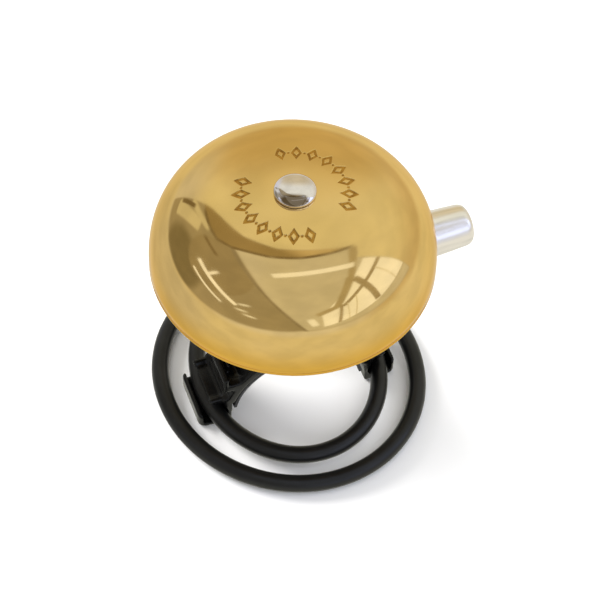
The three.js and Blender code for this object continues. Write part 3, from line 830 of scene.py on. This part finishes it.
def add_striker_head():
    stud_end = HEAD_START - 0.3
    flange = stud_end - 0.6
    tenon_end = stud_end + 5.5
    outline = [(0, stud_end - 4), (STUD_SHANK, stud_end - 4), (STUD_SHANK, flange)]
    outline += [(STUD_FLANGE, flange), (STUD_FLANGE, stud_end), (STUD_TENON, stud_end)]
    outline += [(STUD_TENON, tenon_end), (0, tenon_end)]
    stud = turned("striker_head_stud", rounded(outline, 0.15, False), 64, closed=False)
    lay_along_striker(stud)
    finish_piece(stud, "striker_stud", "striker", "zinc_steel")

    outline = [(0, HEAD_START + 6.2), (HEAD_BORE, HEAD_START + 5.6), (HEAD_BORE, HEAD_START, 0.2)]
    outline += [(HEAD_INNER_RADIUS, HEAD_START, 0.45), (HEAD_INNER_RADIUS, HEAD_START + 1.2, 0.05)]
    outline += [(4.85, HEAD_END - 5, 0.05), (HEAD_OUTER_RADIUS, HEAD_END - 0.05, 2.2)]
    outline += [(0, HEAD_END + 0.05)]
    head = turned("striker_knob", rounded(outline, 0.3, False, 8), 128, closed=False)
    lay_along_striker(head)
    finish_piece(head, "striker_head", "striker", "satin_aluminium")


# ---- The bracket and its pad ----

BAR_RADIUS = 14.6
PAD_STEPS = 260
PAD_RIBS = 26
RIB_HEIGHT = 0.3


def add_bracket():
    bracket = moulded("handlebar_bracket", "bracket", 0.25, 12)
    finish_piece(bracket, "bracket", "bell_body", "black_nylon")


def add_saddle_pad():
    """A rubber strip round the inside of the saddle, with grip ribs between two plain borders."""
    axis_z = -BAR_RADIUS
    lowest = math.asin((low("saddle_pad").z - axis_z) / BAR_RADIUS)
    half = high("saddle_pad").y
    back = BAR_RADIUS + 0.85
    plain = BAR_RADIUS + 0.12
    rows = []
    for i in range(PAD_STEPS + 1):
        angle = lowest + (math.pi - 2 * lowest) * i / PAD_STEPS
        ripple = 0.5 - 0.5 * math.cos(i / PAD_STEPS * 2 * math.pi * PAD_RIBS)
        face = BAR_RADIUS + 0.05 + RIB_HEIGHT * (1 - ripple) ** 2
        row = [(plain + 0.1, -half + 0.05), (back, -half + 0.05), (back, half - 0.05)]
        row += [(plain + 0.1, half - 0.05), (plain, half - 0.2), (plain, half - 1.2)]
        row += [(face, half - 1.5), (face, 1.5 - half), (plain, 1.2 - half), (plain, 0.2 - half)]
        rows.append([(r * math.cos(angle), y, axis_z + r * math.sin(angle)) for r, y in row])
    around = len(rows[0])
    vertices = np.array(rows).reshape(-1, 3)
    faces = grid_faces(PAD_STEPS + 1, around, False)
    faces.append(tuple(range(around)))
    faces.append(tuple(PAD_STEPS * around + i for i in reversed(range(around))))
    pad = add_piece("saddle_grip_pad", vertices, faces)
    finish_piece(pad, "saddle_pad", "bell_body", "pad_rubber")


# ---- The O-rings ----

MOULD_LINE = 0.03  # how far the mould's line stands out
SMALL_RING = (20.1, 24.1)  # half of each axis of the oval along the cord's middle
LARGE_RING = (30.3, 28.35)
LARGE_RING_TURN = math.radians(-72.5)


def cord_radius(cord):
    """A round cord with the fine raised line that the two halves of its mould leave."""

    def radius(angle):
        line = np.exp(-((np.sin(angle) / 0.045) ** 2))
        return cord - MOULD_LINE + MOULD_LINE * line

    return radius


def add_ring(name, node, body, halves, turn, shift):
    cord = (high(node).z - low(node).z) / 2
    middle_z = (high(node).z + low(node).z) / 2
    around = np.linspace(0, 2 * math.pi, 240, endpoint=False)
    x = halves[0] * np.cos(around)
    y = halves[1] * np.sin(around)
    turned_x = x * math.cos(turn) - y * math.sin(turn) + shift[0]
    turned_y = x * math.sin(turn) + y * math.cos(turn) + shift[1]
    path = np.stack((turned_x, turned_y, np.full_like(x, middle_z)), 1)
    across = np.tile((0.0, 0.0, 1.0), (len(path), 1))
    ring = tube(name, path, cord_radius(cord), 72, across, True)
    finish_piece(ring, node, body, "black_rubber")


def add_rings():
    middle = (low("small_o_ring") + high("small_o_ring")) / 2
    add_ring("small_rubber_ring", "small_o_ring", "bell_body", SMALL_RING, 0, middle.xy)
    add_ring("large_rubber_ring", "large_o_ring", "spare_ring", LARGE_RING, LARGE_RING_TURN, (0, 0))


# ---- Floor, light and surroundings ----


def add_floor():
    """A square of 12 m, a hair below the lowest point of the bell."""
    reach = 6.0
    steps = 12
    gap = 0.02
    grid = np.linspace(-reach, reach, steps + 1)
    vertices = [(x / MM, y / MM, FLOOR_Z / MM - gap) for x in grid for y in grid]
    faces = []
    for i in range(steps):
        for j in range(steps):
            here = i * (steps + 1) + j
            faces.append((here, here + steps + 1, here + steps + 2, here + 1))
    floor = add_piece("floor", vertices, faces)
    floor.data.materials.append(floor_white())
    floor.visible_glossy = False


def add_sun(name, towards, energy, angle, colour):
    data = bpy.data.lights.new(name, "SUN")
    data.energy = energy
    data.angle = math.radians(angle)
    data.color = colour
    light = bpy.data.objects.new(name, data)
    light.rotation_euler = (-Vector(towards)).to_track_quat("Z", "Y").to_euler()
    light.visible_glossy = False
    bpy.context.scene.collection.objects.link(light)


class Sky:
    """The studio round the bell, as a world of soft panels that its polished parts mirror."""

    def __init__(self):
        world = bpy.data.worlds.new("studio")
        world.use_nodes = True
        bpy.context.scene.world = world
        self.tree = world.node_tree
        self.way = self.tree.nodes.new("ShaderNodeTexCoord").outputs["Generated"]

    def link(self, source, target):
        self.tree.links.new(source, target)

    def along(self, direction):
        """How far each direction of view points along the one given."""
        node = self.tree.nodes.new("ShaderNodeVectorMath")
        node.operation = "DOT_PRODUCT"
        self.link(self.way, node.inputs[0])
        node.inputs[1].default_value = Vector(direction).normalized()
        return node.outputs["Value"]

    def step(self, source, start, end):
        node = self.tree.nodes.new("ShaderNodeMapRange")
        node.interpolation_type = "SMOOTHSTEP"
        node.inputs["From Min"].default_value = start
        node.inputs["From Max"].default_value = end
        self.link(source, node.inputs["Value"])
        return node.outputs["Result"]

    def times(self, first, second):
        node = self.tree.nodes.new("ShaderNodeMath")
        node.operation = "MULTIPLY"
        self.link(first, node.inputs[0])
        self.link(second, node.inputs[1])
        return node.outputs["Value"]

    def size(self, source):
        node = self.tree.nodes.new("ShaderNodeMath")
        node.operation = "ABSOLUTE"
        self.link(source, node.inputs[0])
        return node.outputs["Value"]

    def within(self, source, half_width, edge):
        """1 where the value is nearer to 0 than half_width, with a soft edge."""
        return self.step(self.size(source), half_width + edge, half_width)

    def most(self, first, second):
        node = self.tree.nodes.new("ShaderNodeMath")
        node.operation = "MAXIMUM"
        self.link(first, node.inputs[0])
        self.link(second, node.inputs[1])
        return node.outputs["Value"]

    def over(self, factor, under, colour):
        """Lays one colour over another; each is a colour or a socket."""
        node = self.tree.nodes.new("ShaderNodeMix")
        node.data_type = "RGBA"
        self.link(factor, node.inputs["Factor"])
        for value, socket in ((under, node.inputs["A"]), (colour, node.inputs["B"])):
            if isinstance(value, bpy.types.NodeSocket):
                self.link(value, socket)
            else:
                socket.default_value = (*value, 1)
        return node.outputs["Result"]

    def lamp(self, start, end, half_width, edge):
        """A straight strip between two directions given as the photographer sees them."""
        start = from_camera(*start).normalized()
        end = from_camera(*end).normalized()
        middle = (start + end).normalized()
        reach = middle.dot(start)
        across = self.within(self.along(start.cross(end)), half_width, edge)
        ends = self.step(self.along(middle), reach - 0.004, reach + 0.004)
        return self.times(across, ends)

    def facet(self, corners, edge):
        """A flat-sided panel, from its corners in order as the photographer sees them."""
        corners = [from_camera(*corner).normalized() for corner in corners]
        centre = sum(corners, Vector()).normalized()
        inside = self.step(self.along(centre), 0.1, 0.2)
        for i, corner in enumerate(corners):
            side = corner.cross(corners[(i + 1) % len(corners)])
            if side.dot(centre) < 0:
                side = -side
            inside = self.times(inside, self.step(self.along(side), -edge / 2, edge / 2))
        return inside

    def mottled(self, colour):
        noise = self.tree.nodes.new("ShaderNodeTexNoise")
        noise.inputs["Scale"].default_value = 4.0
        noise.inputs["Detail"].default_value = 4.0
        self.link(self.way, noise.inputs["Vector"])
        clouds = self.step(noise.outputs["Fac"], 0.3, 0.7)
        shade = self.over(clouds, (0.93, 0.93, 0.93), (1.06, 1.06, 1.06))
        node = self.tree.nodes.new("ShaderNodeMix")
        node.data_type = "RGBA"
        node.blend_type = "MULTIPLY"
        node.inputs["Factor"].default_value = 1.0
        self.link(colour, node.inputs["A"])
        self.link(shade, node.inputs["B"])
        return node.outputs["Result"]

    def finish(self, colour, strength):
        background = self.tree.nodes["Background"]
        self.link(colour, background.inputs["Color"])
        background.inputs["Strength"].default_value = strength


# What the polished parts mirror on the photographer's side, as directions right, away and up. A
# strip has two ends and half its width.
PANES = ((0.53, 0.12, 0.84), (0.94, 0.13, 0.3), (0.9, -0.38, 0.25), (0.57, -0.8, 0.2))
PANES += ((0.4, -0.9, 0.18), (0.36, -0.8, 0.48))
PANE_BARS = (
    ((0.68, 0.14, 0.72), (0.57, -0.62, 0.54), 0.022),
    ((0.55, -0.16, 0.82), (0.9, -0.38, 0.27), 0.035),
    ((0.54, -0.6, 0.58), (0.57, -0.82, 0.17), 0.016),
)
PANE_LINES = (
    ((0.7, 0.0, 0.71), (0.96, -0.06, 0.28), 0.004),
    ((0.66, -0.42, 0.63), (0.72, -0.66, 0.22), 0.004),
    ((0.6, -0.56, 0.57), (0.66, -0.72, 0.22), 0.004),
)
LAMPS = (
    ((-0.16, -0.14, 0.98), (0.48, 0.04, 0.88), 0.03),
    ((-0.81, 0.03, 0.58), (-0.6, -0.66, 0.46), 0.027),
    ((-0.9, -0.05, 0.43), (-0.75, -0.57, 0.34), 0.014),
    ((-0.79, -0.18, 0.58), (-0.67, -0.16, 0.72), 0.016),
    ((-0.56, -0.65, 0.51), (-0.46, -0.69, 0.56), 0.018),
    ((-0.6, -0.7, 0.39), (-0.5, -0.76, 0.41), 0.016),
    ((-0.52, -0.78, 0.33), (-0.4, -0.85, 0.33), 0.012),
    ((0.23, -0.87, 0.43), (0.31, -0.93, 0.24), 0.04),
)
OVERHEAD_EDGE = ((-0.55, 0.53, 0.65), (-0.55, 0.38, 0.74), (-0.53, 0.27, 0.81), (-0.42, 0.2, 0.89))
OVERHEAD_EDGE += ((-0.14, 0.15, 0.98), (0.05, 0.16, 0.99), (0.23, 0.21, 0.95), (0.37, 0.27, 0.89))
DARK_LINES = tuple((*ends, 0.009) for ends in zip(OVERHEAD_EDGE, OVERHEAD_EDGE[1:]))
DARK_LINES += (
    ((-0.72, 0.64, 0.26), (-0.63, 0.56, 0.52), 0.012),
    ((-0.64, 0.29, 0.71), (-0.6, 0.07, 0.79), 0.012),
)
BEAMS = (
    ((0.38, 0.26, 0.89), (0.52, -0.16, 0.84), 0.022),
    ((0.51, -0.14, 0.85), (0.5, -0.64, 0.57), 0.034),
    ((0.52, -0.62, 0.58), (0.3, -0.8, 0.5), 0.03),
)
PALE_STREAKS = (
    ((-0.64, 0.62, 0.46), (-0.57, 0.36, 0.74), 0.012),
    ((-0.77, 0.61, 0.2), (-0.65, 0.39, 0.65), 0.05),
)
WALL_EDGE = ((-0.42, 0.2, 0.89), (-0.27, -0.5, 0.82), (0.14, -0.96, 0.23))  # top, bend, foot

# The colours of that side.
BRIGHT = (1.15, 1.28, 1.68)
DIM_WALL = (0.43, 0.41, 0.36)
LEFT_SHADE = (0.26, 0.24, 0.18)
ROUND_SHADE = (0.38, 0.35, 0.28)
PALE_STREAK = (0.74, 0.75, 0.70)
PALE_WALL = (0.70, 0.73, 0.78)
WALL_LINE = (0.34, 0.32, 0.28)
DARK_LINE = (0.24, 0.20, 0.13)
BEAM = (0.52, 0.49, 0.40)
PANE_BAR = (0.46, 0.43, 0.36)
PANE_LINE = (0.85, 0.88, 0.95)
OVERHEAD_DARK = (0.38, 0.32, 0.20)
OVERHEAD_PALE = (0.68, 0.60, 0.42)


def add_back_sweep(sky):
    """The pale sweep behind the bell, and the floor that the lower half of the dome mirrors."""
    up = sky.along((0, 0, 1))
    colour = sky.over(sky.step(up, 0.05, 0.7), (0.70, 0.64, 0.50), (0.84, 0.84, 0.72))
    warm = sky.step(sky.along(from_camera(0.0, 0.92, 0.39)), 0.84, 0.99)
    colour = sky.over(warm, colour, (0.66, 0.56, 0.35))
    cool = sky.step(sky.along(from_camera(-0.8, 0.58, 0.1)), 0.78, 0.98)
    colour = sky.over(cool, colour, (0.72, 0.74, 0.80))
    front = sky.step(sky.along(from_camera(0, -1, 0)), 0.3, 0.8)
    colour = sky.over(front, colour, (0.82, 0.85, 0.94))
    under = sky.step(up, 0.06, -0.14)
    colour = sky.over(under, colour, (0.83, 0.82, 0.72))
    left = sky.times(under, sky.step(sky.along(from_camera(-0.95, 0.2, -0.25)), 0.6, 0.95))
    return sky.over(left, colour, (0.67, 0.67, 0.64))


def dim_side(sky):
    """Where the dimmer side of the studio is, with its edge overhead."""
    right = sky.along(from_camera(1, 0, 0))
    away = sky.along(from_camera(0, 1, 0))
    steep = sky.step(sky.along(from_camera(1, 1, 0)), 0.052, 0.032)
    left_end = sky.step(sky.along(from_camera(0.55, 1, 0)), 0.25, 0.23)
    shallow = sky.step(sky.along(from_camera(0.4, 1, 0)), 0.222, 0.2)
    low_edge = sky.most(sky.times(steep, left_end), shallow)
    middle = sky.times(sky.step(right, 0.47, 0.43), sky.step(away, 0.275, 0.25))
    corner = sky.step(sky.along(from_camera(1, 1, 0)), 0.47, 0.44)
    near = sky.step(away, 0.145, 0.125)
    overhead = sky.most(sky.most(low_edge, sky.times(middle, corner)), near)
    left_foot = sky.step(sky.along(from_camera(-0.12, 0, 1)), 0.07, 0.16)
    right_foot = sky.step(sky.along(from_camera(0.05, 0, 1)), 0.09, 0.18)
    return sky.times(overhead, sky.most(left_foot, right_foot))


def add_pale_wall(sky, dim, colour):
    """A paler wall beyond a bent edge, with a dark line along the edge."""
    top, bend, foot = (from_camera(*corner) for corner in WALL_EDGE)
    upper = sky.along(top.cross(bend))
    lower = sky.along(bend.cross(foot))
    beyond = sky.times(sky.step(upper, -0.01, 0.06), sky.step(lower, -0.02, 0.03))
    colour = sky.over(sky.times(dim, beyond), colour, PALE_WALL)
    upper_line = sky.times(sky.within(upper, 0.006, 0.03), sky.step(lower, -0.02, 0.01))
    lower_line = sky.times(sky.within(lower, 0.006, 0.03), sky.step(upper, -0.02, 0.01))
    line = sky.times(dim, sky.most(upper_line, lower_line))
    return sky.over(line, colour, WALL_LINE)


def lay_strips(sky, colour, strips, edge, tone, where=None):
    """Lays straight strips of one tone over the studio, or only over the panel given as where."""
    for start, end, half_width in strips:
        strip = sky.lamp(start, end, half_width, edge)
        if where:
            strip = sky.times(where, strip)
        colour = sky.over(strip, colour, tone)
    return colour


def add_sky():
    """A pale sweep behind the bell, and the dimmer half of the studio on the photographer's side,
    with a paler wall, a long lamp overhead, a glazed panel at the right and thin lamps at the
    left."""
    sky = Sky()
    colour = add_back_sweep(sky)
    dim = dim_side(sky)
    colour = sky.over(dim, colour, DIM_WALL)
    left_end = sky.times(dim, sky.step(sky.along(from_camera(-0.96, 0.1, 0.22)), 0.9, 0.95))
    colour = sky.over(left_end, colour, LEFT_SHADE)
    round_shade = sky.times(dim, sky.step(sky.along(from_camera(-0.68, -0.12, 0.72)), 0.9, 0.92))
    colour = sky.over(round_shade, colour, ROUND_SHADE)
    colour = lay_strips(sky, colour, PALE_STREAKS, 0.04, PALE_STREAK)
    colour = add_pale_wall(sky, dim, colour)
    colour = add_overhead_edge(sky, dim, colour)
    colour = lay_strips(sky, colour, DARK_LINES, 0.016, DARK_LINE)
    panes = sky.facet(PANES, 0.012)
    colour = sky.over(panes, colour, BRIGHT)
    colour = lay_strips(sky, colour, BEAMS, 0.03, BEAM)
    colour = lay_strips(sky, colour, PANE_BARS, 0.012, PANE_BAR, panes)
    colour = lay_strips(sky, colour, PANE_LINES, 0.008, PANE_LINE, panes)
    colour = lay_strips(sky, colour, LAMPS, 0.01, BRIGHT)
    sky.finish(sky.mottled(colour), 1.0)


def add_overhead_edge(sky, dim, colour):
    """The edge of the dim side overhead: a band that darkens towards the photographer."""
    band = dim
    for first, second in zip(OVERHEAD_EDGE, OVERHEAD_EDGE[1:]):
        beyond = from_camera(*Vector(first).cross(Vector(second)))
        band = sky.times(band, sky.step(sky.along(beyond), 0, 0.01))
    fade = sky.step(sky.along(from_camera(0.8, 1, 0)), 0.12, 0.25)
    tones = sky.over(fade, OVERHEAD_DARK, OVERHEAD_PALE)
    return sky.over(band, colour, tones)


def add_lights():
    add_sun("key", -from_camera(-0.8, 0.45, 0.45), 5.4, 35, (1, 0.985, 0.965))
    add_sun("overhead", -from_camera(0.1, 0.1, 1.0), 1.9, 140, (1, 0.99, 0.98))


bpy.context.scene.view_settings.view_transform = "Standard"
add_camera()
add_dome()
add_dome_fixings()
add_post()
add_nut_and_washers()
add_striker_mounting()
add_striker_spring()
add_striker_head()
add_bracket()
add_saddle_pad()
add_rings()
add_floor()
add_sky()
add_lights()
